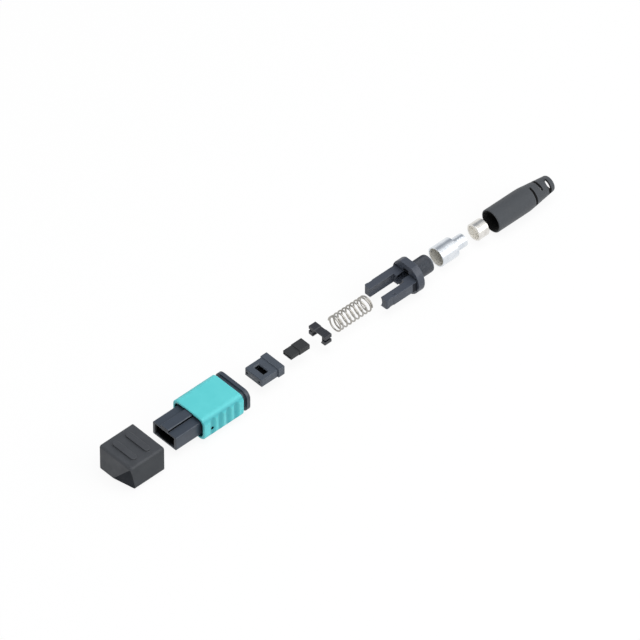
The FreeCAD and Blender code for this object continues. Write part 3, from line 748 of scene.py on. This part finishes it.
def as_piece(mesh: bpy.types.Mesh, finish: bpy.types.Material, body: str,
             smooth: bool = True) -> bpy.types.Object:
    """Puts a mesh in the scene as a piece of the connector, under the mesh's own name.

    Args:
        mesh: Its mesh, in place in the row's frame.
        finish: Its material.
        body: The CAD body that it rides on.
        smooth: Whether faces are shaded smoothly, with sharp edges kept over SHARP_DEG.

    Returns:
        The object.
    """
    piece = show(bpy.data.objects.new(mesh.name, mesh))
    mesh.materials.append(finish)
    if smooth:
        mesh.shade_smooth()
        mesh.set_sharp_from_angle(angle=math.radians(SHARP_DEG))
    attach(piece, body)
    log.info("%s: %d faces on %s", mesh.name, len(mesh.polygons), body)
    return piece


def dress(node: str, finish: bpy.types.Material) -> None:
    """Gives a CAD node its finish.

    Args:
        node: The node's name.
        finish: The material for all its slots.
    """
    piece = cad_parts[node]
    if not piece.material_slots:
        piece.data.materials.append(finish)
    for held in piece.material_slots:
        held.material = finish
    log.info("%s dressed in %s", node, finish.name)


def around(count: int) -> list[float]:
    """Gives evenly spaced angles round a circle, in radians."""
    return [2 * math.pi * k / count for k in range(count)]


def join_rings(made: bmesh.types.BMesh, rings: list[list[bmesh.types.BMVert]]) -> None:
    """Joins closed rings of points, each to the next, with a band of quads.

    Args:
        made: The bmesh that holds them.
        rings: The rings, all with the same number of points.
    """
    for near, far in zip(rings, rings[1:]):
        for k in range(len(near)):
            after = (k + 1) % len(near)
            made.faces.new((near[k], near[after], far[after], far[k]))


def from_bmesh(name: str, made: bmesh.types.BMesh) -> bpy.types.Mesh:
    """Turns a bmesh into a mesh with outward normals.

    Args:
        name: The mesh's name.
        made: The bmesh, which is freed.

    Returns:
        The mesh.
    """
    bmesh.ops.recalc_face_normals(made, faces=made.faces)
    mesh = bpy.data.meshes.new(name)
    made.to_mesh(mesh)
    made.free()
    return mesh


# ---------------------------------------------------------------- sub-assemblies


@dataclass
class DustCap:
    """The cap that keeps the ferrule's face clean."""

    node: str = "dust_cap"

    def build(self) -> None:
        """Dresses the cap."""
        dress(self.node, CAP_PE.build())


@dataclass
class CoilSpring:
    """A compression spring of round wire with closed ends, in line with the axis."""

    node: str
    body: str
    joint: str
    wire_mm: float
    turns: float
    steps: int
    sides: int
    travel_mm: float
    closed: float = 1.0  # turns that lie close at either end
    close_pitch: float = 1.02  # their pitch, in wire diameters
    anchor_high: bool = False

    def centreline(self) -> list[Vector]:
        """Works out the wire's centreline.

        Returns:
            Points along the coil, in metres.
        """
        low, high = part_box(self.node)
        middle = (Vector(low) + Vector(high)) / 2
        wire = self.wire_mm * MM
        radius = (high[1] - low[1] - wire) / 2
        closed_pitch = wire * self.close_pitch
        open_pitch = ((high[0] - low[0] - wire - 2 * self.closed * closed_pitch)
                      / (self.turns - 2 * self.closed))
        points = []
        count = int(self.turns * self.steps)
        for i in range(count + 1):
            turn = self.turns * i / count
            first = min(turn, self.closed)
            last = max(0.0, turn - (self.turns - self.closed))
            along = (first + last) * closed_pitch + (turn - first - last) * open_pitch
            angle = 2 * math.pi * turn
            points.append(Vector((low[0] + wire / 2 + along, middle.y + radius * math.cos(angle),
                                  middle.z + radius * math.sin(angle))))
        return points

    def wire(self) -> bpy.types.Mesh:
        """Runs a round section along the centreline.

        Returns:
            The wire's mesh, with flat cut ends.
        """
        points = self.centreline()
        made = bmesh.new()
        rings = []
        for i, point in enumerate(points):
            ahead = (points[min(i + 1, len(points) - 1)] - points[max(i - 1, 0)]).normalized()
            side = ahead.cross(Vector(BACK)).normalized()
            up = side.cross(ahead).normalized()
            rings.append([made.verts.new(point + (side * math.cos(turn) + up * math.sin(turn))
                                         * (self.wire_mm * MM / 2))
                          for turn in around(self.sides)])
        join_rings(made, rings)
        made.faces.new(rings[0])
        made.faces.new(rings[-1])
        return from_bmesh(self.node + "_wire", made)

    def build(self, finish: bpy.types.Material) -> None:
        """Makes the wire and lets it stand for the CAD coil.

        Args:
            finish: The wire's material.
        """
        coil = as_piece(self.wire(), finish, self.body)
        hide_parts(self.node)
        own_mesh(coil)


@dataclass
class Housing:
    """The keyed inner housing with the two small springs that return the sleeve."""

    node: str = "inner_housing"
    springs: tuple[str, str] = ("coupling_spring_left", "coupling_spring_right")

    def build(self, wire: bpy.types.Material) -> None:
        """Dresses the housing and makes its springs.

        Args:
            wire: The springs' material.
        """
        dress(self.node, HOUSING_PBT.build())
        for spring in self.springs:
            CoilSpring(spring, "housing", "sleeve_slide", wire_mm=0.2, turns=10, steps=20, sides=8,
                       travel_mm=1.0, anchor_high=True).build(wire)


@dataclass
class CouplingSleeve:
    """The aqua sleeve that is pushed and pulled to latch and free the connector."""

    node: str = "coupling_sleeve"

    def build(self) -> None:
        """Dresses the sleeve."""
        dress(self.node, SLEEVE_ABS.build())


@dataclass
class Ferrule:
    """The moulded ferrule, with a row of fibre ends between its guide holes, on the axis."""

    node: str = "mt_ferrule"
    fibres: int = 12
    pitch_mm: float = 0.25
    fibre_mm: float = 0.125
    proud_mm: float = 0.006
    # the rims of one fibre end: how far forward, in proud_mm, and how wide, in its radius
    rims: tuple[tuple[float, float], ...] = ((-0.02, 1.0), (0.6, 1.0), (1.0, 0.85))
    sides: int = 16

    def fibre_row(self) -> bpy.types.Mesh:
        """Builds the row of polished fibre ends, each a low disc with a rounded rim.

        Returns:
            The mesh of the whole row.
        """
        low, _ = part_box(self.node)
        made = bmesh.new()
        for n in range(self.fibres):
            across = (n - (self.fibres - 1) / 2) * self.pitch_mm * MM
            rings = []
            for reach, share in self.rims:
                x = low[0] - reach * self.proud_mm * MM
                radius = share * self.fibre_mm / 2 * MM
                rings.append([made.verts.new((x, across + radius * math.cos(a),
                                              radius * math.sin(a)))
                              for a in around(self.sides)])
            join_rings(made, rings)
            made.faces.new(rings[-1])
            made.faces.new(rings[0])
        return from_bmesh("fibre_row", made)

    def build(self) -> None:
        """Dresses the ferrule and sets the fibre ends in its face."""
        dress(self.node, FERRULE_PPS.build())
        as_piece(self.fibre_row(), FIBRE_END.build(), "ferrule")


@dataclass
class SpringPush:
    """The spring push: two arms, a round flange and a knurled barrel."""

    node: str = "spring_push"
    barrel_mm: float = 5.1
    flange_rear_mm: float = 13.2
    clear_mm: float = 0.35
    teeth: int = 34
    row_mm: float = 0.24
    knurl_mm: float = 0.08
    sunk_mm: float = 0.02  # how deep the roots of the knurl lie in the barrel

    def knurl(self) -> bpy.types.Mesh:
        """Builds the thin band of fine diamond points round the barrel.

        Returns:
            The band's mesh.
        """
        low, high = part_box(self.node)
        start = low[0] + (self.flange_rear_mm + self.clear_mm) * MM
        end = high[0] - self.clear_mm * MM
        root = (self.barrel_mm / 2 - self.sunk_mm) * MM
        crest = (self.barrel_mm / 2 + self.knurl_mm) * MM
        rows = 2 * round((end - start) / (self.row_mm * MM) / 2)
        made = bmesh.new()
        rings = []
        for i in range(rows + 1):
            ring = []
            for k, angle in enumerate(around(self.teeth * 2)):
                radius = crest if (i + k) % 2 and 0 < i < rows else root
                ring.append(made.verts.new((start + (end - start) * i / rows,
                                            radius * math.cos(angle), radius * math.sin(angle))))
            rings.append(ring)
        join_rings(made, rings)
        return from_bmesh("barrel_knurl", made)

    def build(self) -> None:
        """Dresses the push and knurls its barrel."""
        dress(self.node, PUSH_PEI.build())
        as_piece(self.knurl(), KNURL_PEI.build(), "push", smooth=False)


@dataclass(frozen=True)
class SlotPair:
    """Two slots that face each other through the wall of the strain relief."""

    station_mm: float
    width_mm: float
    middle_deg: float  # from the right side towards the top
    reach_deg: float  # to either side of the middle


@dataclass
class StrainRelief:
    """The slotted bend relief: a straight sleeve, then a taper cut by crossed pairs of slots."""

    node: str = "strain_relief_boot"
    radius_mm: float = 3.5
    bore_mm: float = 3.05
    lip_mm: float = 0.12
    straight_mm: float = 11.0
    blend_mm: float = 1.6
    end_radius_mm: float = 2.35
    end_round_mm: float = 0.45
    step_mm: tuple[float, float] = (12.2, 12.6)
    cord_bore_mm: float = 1.8
    slots: tuple[SlotPair, ...] = (SlotPair(13.95, 0.7, 30.0, 60.0),
                                   SlotPair(16.8, 0.7, 98.0, 58.5),
                                   SlotPair(19.45, 1.05, 30.0, 60.0))
    spokes: int = 120
    ring_mm: float = 0.9  # from ring to ring along the plain stretches
    end_rings_mm: tuple[float, ...] = (0.0, 0.02, 0.08, 0.18, 0.3)  # before the rounded end
    clear_mm: float = 0.1  # kept free of plain rings at either side of a slot

    def outside(self, x: float, length: float) -> float:
        """Gives the outer radius at a station, all in millimetres."""
        drop = ((self.radius_mm - self.end_radius_mm)
                / (length - self.straight_mm - self.blend_mm / 2))
        past = max(0.0, x - self.straight_mm)
        eased = past - self.blend_mm / 2
        if past < self.blend_mm:
            eased = past * past / (2 * self.blend_mm)
        radius = self.radius_mm - drop * eased - max(0.0, self.lip_mm - x)
        to_end = min(length - x, self.end_round_mm)
        arc = math.sqrt(max(0.0, to_end * (2 * self.end_round_mm - to_end)))
        return radius - (self.end_round_mm - arc)

    def inside(self, x: float) -> float:
        """Gives the inner radius at a station, all in millimetres."""
        start, end = self.step_mm
        share = min(1.0, max(0.0, (x - start) / (end - start)))
        radius = self.bore_mm + share * (self.cord_bore_mm - self.bore_mm)
        return radius + max(0.0, self.lip_mm - x)

    def cut(self, x: float, angle: float) -> bool:
        """Tells whether a point of the wall lies in a slot.

        Args:
            x: Its station in millimetres.
            angle: Its angle in degrees, from the right side towards the top.

        Returns:
            True in a slot of either side of a pair.
        """
        return any(abs(x - pair.station_mm) < pair.width_mm / 2
                   and abs((angle - pair.middle_deg + 90.0) % 180.0 - 90.0) < pair.reach_deg
                   for pair in self.slots)

    def stations(self, length: float) -> list[float]:
        """Chooses the stations of the rings of points, in millimetres.

        Args:
            length: The boot's length.

        Returns:
            The stations in order, with one at each edge of a slot and none just beside it.
        """
        chosen = {0.0, self.lip_mm / 2, self.lip_mm, length - self.end_round_mm, *self.step_mm}
        chosen.update(length - back for back in self.end_rings_mm)
        chosen.update(self.ring_mm * n for n in range(1, int(length / self.ring_mm)))
        for pair in self.slots:
            half = pair.width_mm / 2
            chosen = {x for x in chosen if abs(x - pair.station_mm) > half + self.clear_mm}
            chosen.update((pair.station_mm - half, pair.station_mm + half))
        return sorted(chosen)

    def moulding(self) -> bpy.types.Mesh:
        """Builds the boot's wall as one closed skin, with the slots left open.

        Returns:
            The mesh.
        """
        low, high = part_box(self.node)
        length = (high[0] - low[0]) / MM
        stations = self.stations(length)
        made = bmesh.new()
        outer, inner = ([[made.verts.new((low[0] + x * MM, -radius_at(x) * MM * math.cos(a),
                                          radius_at(x) * MM * math.sin(a)))
                          for a in around(self.spokes)] for x in stations]
                        for radius_at in (lambda x: self.outside(x, length), self.inside))
        bays, spokes = range(len(stations) - 1), range(self.spokes)
        gone = {(i, k) for i in bays for k in spokes
                if self.cut((stations[i] + stations[i + 1]) / 2, 360.0 * (k + 0.5) / self.spokes)}

        def wall(first: tuple[int, int], last: tuple[int, int]) -> None:
            """Closes the wall's thickness between two points of the skins."""
            made.faces.new((outer[first[0]][first[1]], outer[last[0]][last[1]],
                            inner[last[0]][last[1]], inner[first[0]][first[1]]))

        for i in bays:
            for k in spokes:
                after = (k + 1) % self.spokes
                if (i, k) not in gone:
                    for skin in (outer, inner):
                        made.faces.new((skin[i][k], skin[i][after],
                                        skin[i + 1][after], skin[i + 1][k]))
                    continue
                # an open bay is walled off from each neighbour that is still there
                for neighbour, first, last in (((i - 1, k), (i, k), (i, after)),
                                               ((i + 1, k), (i + 1, k), (i + 1, after)),
                                               ((i, (k - 1) % self.spokes), (i, k), (i + 1, k)),
                                               ((i, after), (i, after), (i + 1, after))):
                    if neighbour not in gone:
                        wall(first, last)
        for i in (0, len(stations) - 1):
            for k in spokes:
                wall((i, k), (i, (k + 1) % self.spokes))
        for vertex in [v for v in made.verts if not v.link_faces]:
            made.verts.remove(vertex)
        return from_bmesh("strain_relief_moulding", made)

    def build(self) -> None:
        """Makes the boot and lets it stand for the CAD boot."""
        boot = as_piece(self.moulding(), BOOT_TPE.build(), "relief")
        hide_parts(self.node)


@dataclass
class Connector:
    """The whole connector."""

    cap: DustCap = field(default_factory=DustCap)
    housing: Housing = field(default_factory=Housing)
    sleeve: CouplingSleeve = field(default_factory=CouplingSleeve)
    ferrule: Ferrule = field(default_factory=Ferrule)
    push: SpringPush = field(default_factory=SpringPush)
    relief: StrainRelief = field(default_factory=StrainRelief)

    def build(self) -> None:
        """Builds every sub-assembly in the order of assembly."""
        wire = STAINLESS.build()
        self.cap.build()
        self.housing.build(wire)
        self.sleeve.build()
        self.ferrule.build()
        dress("ferrule_boot", FERRULE_RUBBER.build())
        dress("pin_keeper", KEEPER_PEI.build())
        CoilSpring("main_spring", "spring", "push_slide", wire_mm=0.46, turns=9.5, steps=56,
                   sides=16, travel_mm=0.21).build(wire)
        self.push.build()
        dress("crimp_tube", NICKEL.build())
        dress("crimp_ring", SOFT_TIN.build())
        self.relief.build()


# ---------------------------------------------------------------- studio


@dataclass
class Studio:
    """A pale floor, soft lamps, a white surround and the camera."""

    floor_m: float = 6.0
    gap_m: float = 0.0002  # from the lowest piece down to the floor
    distance_m: float = 3.0
    width_m: float = 0.1684
    aim: Vector = field(default_factory=lambda: metres(55.4, 0.0, 0.0))
    right: Vector = field(default_factory=lambda: Vector((0.7314, -0.6820, 0.0)))
    up: Vector = field(default_factory=lambda: Vector((0.4805, 0.5153, 0.7097)))
    lift_m: float = 0.0036
    clip_m: float = 20.0
    dim: float = 0.62  # the surround's strength where it lights and isn't seen
    behind: tuple[float, float] = (-0.15, 0.45)  # the ways, along Y and Z, in which the white
    above: tuple[float, float] = (0.25, 0.6)  # surround turns into the grey ceiling
    glow: float = 0.9  # the share of plain white in the floor where it is seen

    def seen(self, tree: Tree) -> Socket:
        """Makes the factor that is one for camera, glossy and transmission rays.

        Args:
            tree: The tree to add it to.

        Returns:
            The factor's socket.
        """
        rays = add(tree, "LightPath").outputs
        both = maths(tree, "MAXIMUM", rays["Is Camera Ray"], rays["Is Glossy Ray"])
        return maths(tree, "MAXIMUM", both, rays["Is Transmission Ray"])

    def surround(self) -> None:
        """Sets the world: white where it is seen, softer where it lights."""
        world = bpy.data.worlds.new("studio_surround")
        bpy.context.scene.world = world
        world.use_nodes = True
        tree = world.node_tree
        tree.nodes.clear()
        way = add(tree, "SeparateXYZ", {0: add(tree, "TexCoord").outputs["Generated"]}).outputs
        # white towards the horizon and in front, a soft grey-blue ceiling behind
        ceiling = times(tree, ramp(tree, way["Y"], *self.behind, 0.0, 1.0),
                        ramp(tree, way["Z"], *self.above, 0.0, 1.0))
        colour = mix(tree, ceiling, linear("#ffffff"), linear("#a6aab0"))
        strength = ramp(tree, self.seen(tree), 0.0, 1.0, self.dim, 1.0)
        shade = add(tree, "Background", {"Color": colour, "Strength": strength})
        output = add(tree, "OutputWorld")
        tree.links.new(shade.outputs[0], output.inputs["Surface"])

    def floor(self) -> None:
        """Lays the pale floor under the lowest piece."""
        low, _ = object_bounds()
        made = bmesh.new()
        half = self.floor_m / 2
        made.faces.new([made.verts.new((x + self.aim.x, y, low[2] - self.gap_m))
                        for x, y in ((-half, -half), (half, -half), (half, half), (-half, half))])
        mesh = bpy.data.meshes.new("floor")
        made.to_mesh(mesh)
        made.free()
        material, tree, output = blank("pale_floor")
        matt = add(tree, "BsdfDiffuse", {"Color": linear("#f4f4f4")})
        bright = add(tree, "Emission", {"Color": linear("#ffffff"), "Strength": 1.0})
        share = ramp(tree, self.seen(tree), 0.0, 1.0, 0.0, self.glow)
        mixed = add(tree, "MixShader", {0: share, 1: matt.outputs[0], 2: bright.outputs[0]})
        tree.links.new(mixed.outputs[0], output.inputs["Surface"])
        mesh.materials.append(material)
        sheet = show(bpy.data.objects.new("floor", mesh))
        sheet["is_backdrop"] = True

    def lamp(self, name: str, place: Vector, size_m: float, watts: float) -> None:
        """Hangs one square soft lamp that faces the connector.

        Args:
            name: The lamp's name.
            place: Where it hangs, from the aim, in metres.
            size_m: Its side.
            watts: Its power.
        """
        data = bpy.data.lights.new(name, "AREA")
        data.shape = "SQUARE"
        data.size = size_m
        data.energy = watts
        lamp = show(bpy.data.objects.new(name, data))
        lamp.location = self.aim + place
        lamp.rotation_mode = "QUATERNION"
        lamp.rotation_quaternion = place.to_track_quat("Z", "Y")

    def camera(self) -> None:
        """Sets the long-lens camera, which sees width_m of the row's plane from side to side."""
        data = bpy.data.cameras.new("camera")
        data.lens = data.sensor_width * self.distance_m / self.width_m
        data.clip_end = self.clip_m
        right = self.right.normalized()
        towards = self.right.cross(self.up).normalized()
        turned = Matrix((right, towards.cross(self.right).normalized(), towards)).transposed()
        place = self.aim + self.up * self.lift_m + towards * self.distance_m
        camera = show(bpy.data.objects.new("camera", data))
        camera.matrix_world = Matrix.Translation(place) @ turned.to_4x4()
        bpy.context.scene.camera = camera

    def build(self) -> None:
        """Sets the whole studio."""
        bpy.context.scene.view_settings.view_transform = "Standard"
        self.surround()
        self.floor()
        self.lamp("overhead", Vector((0.0, -0.15, 0.9)), size_m=0.8, watts=5.0)
        self.lamp("front_right", Vector((0.45, -0.75, 0.55)), size_m=0.6, watts=3.0)
        self.camera()


def main() -> None:
    """Builds the connector and its studio."""
    logging.basicConfig(level=logging.INFO, format="%(message)s")
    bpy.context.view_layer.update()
    Connector().build()
    Studio().build()


if __name__ == "__main__":
    main()
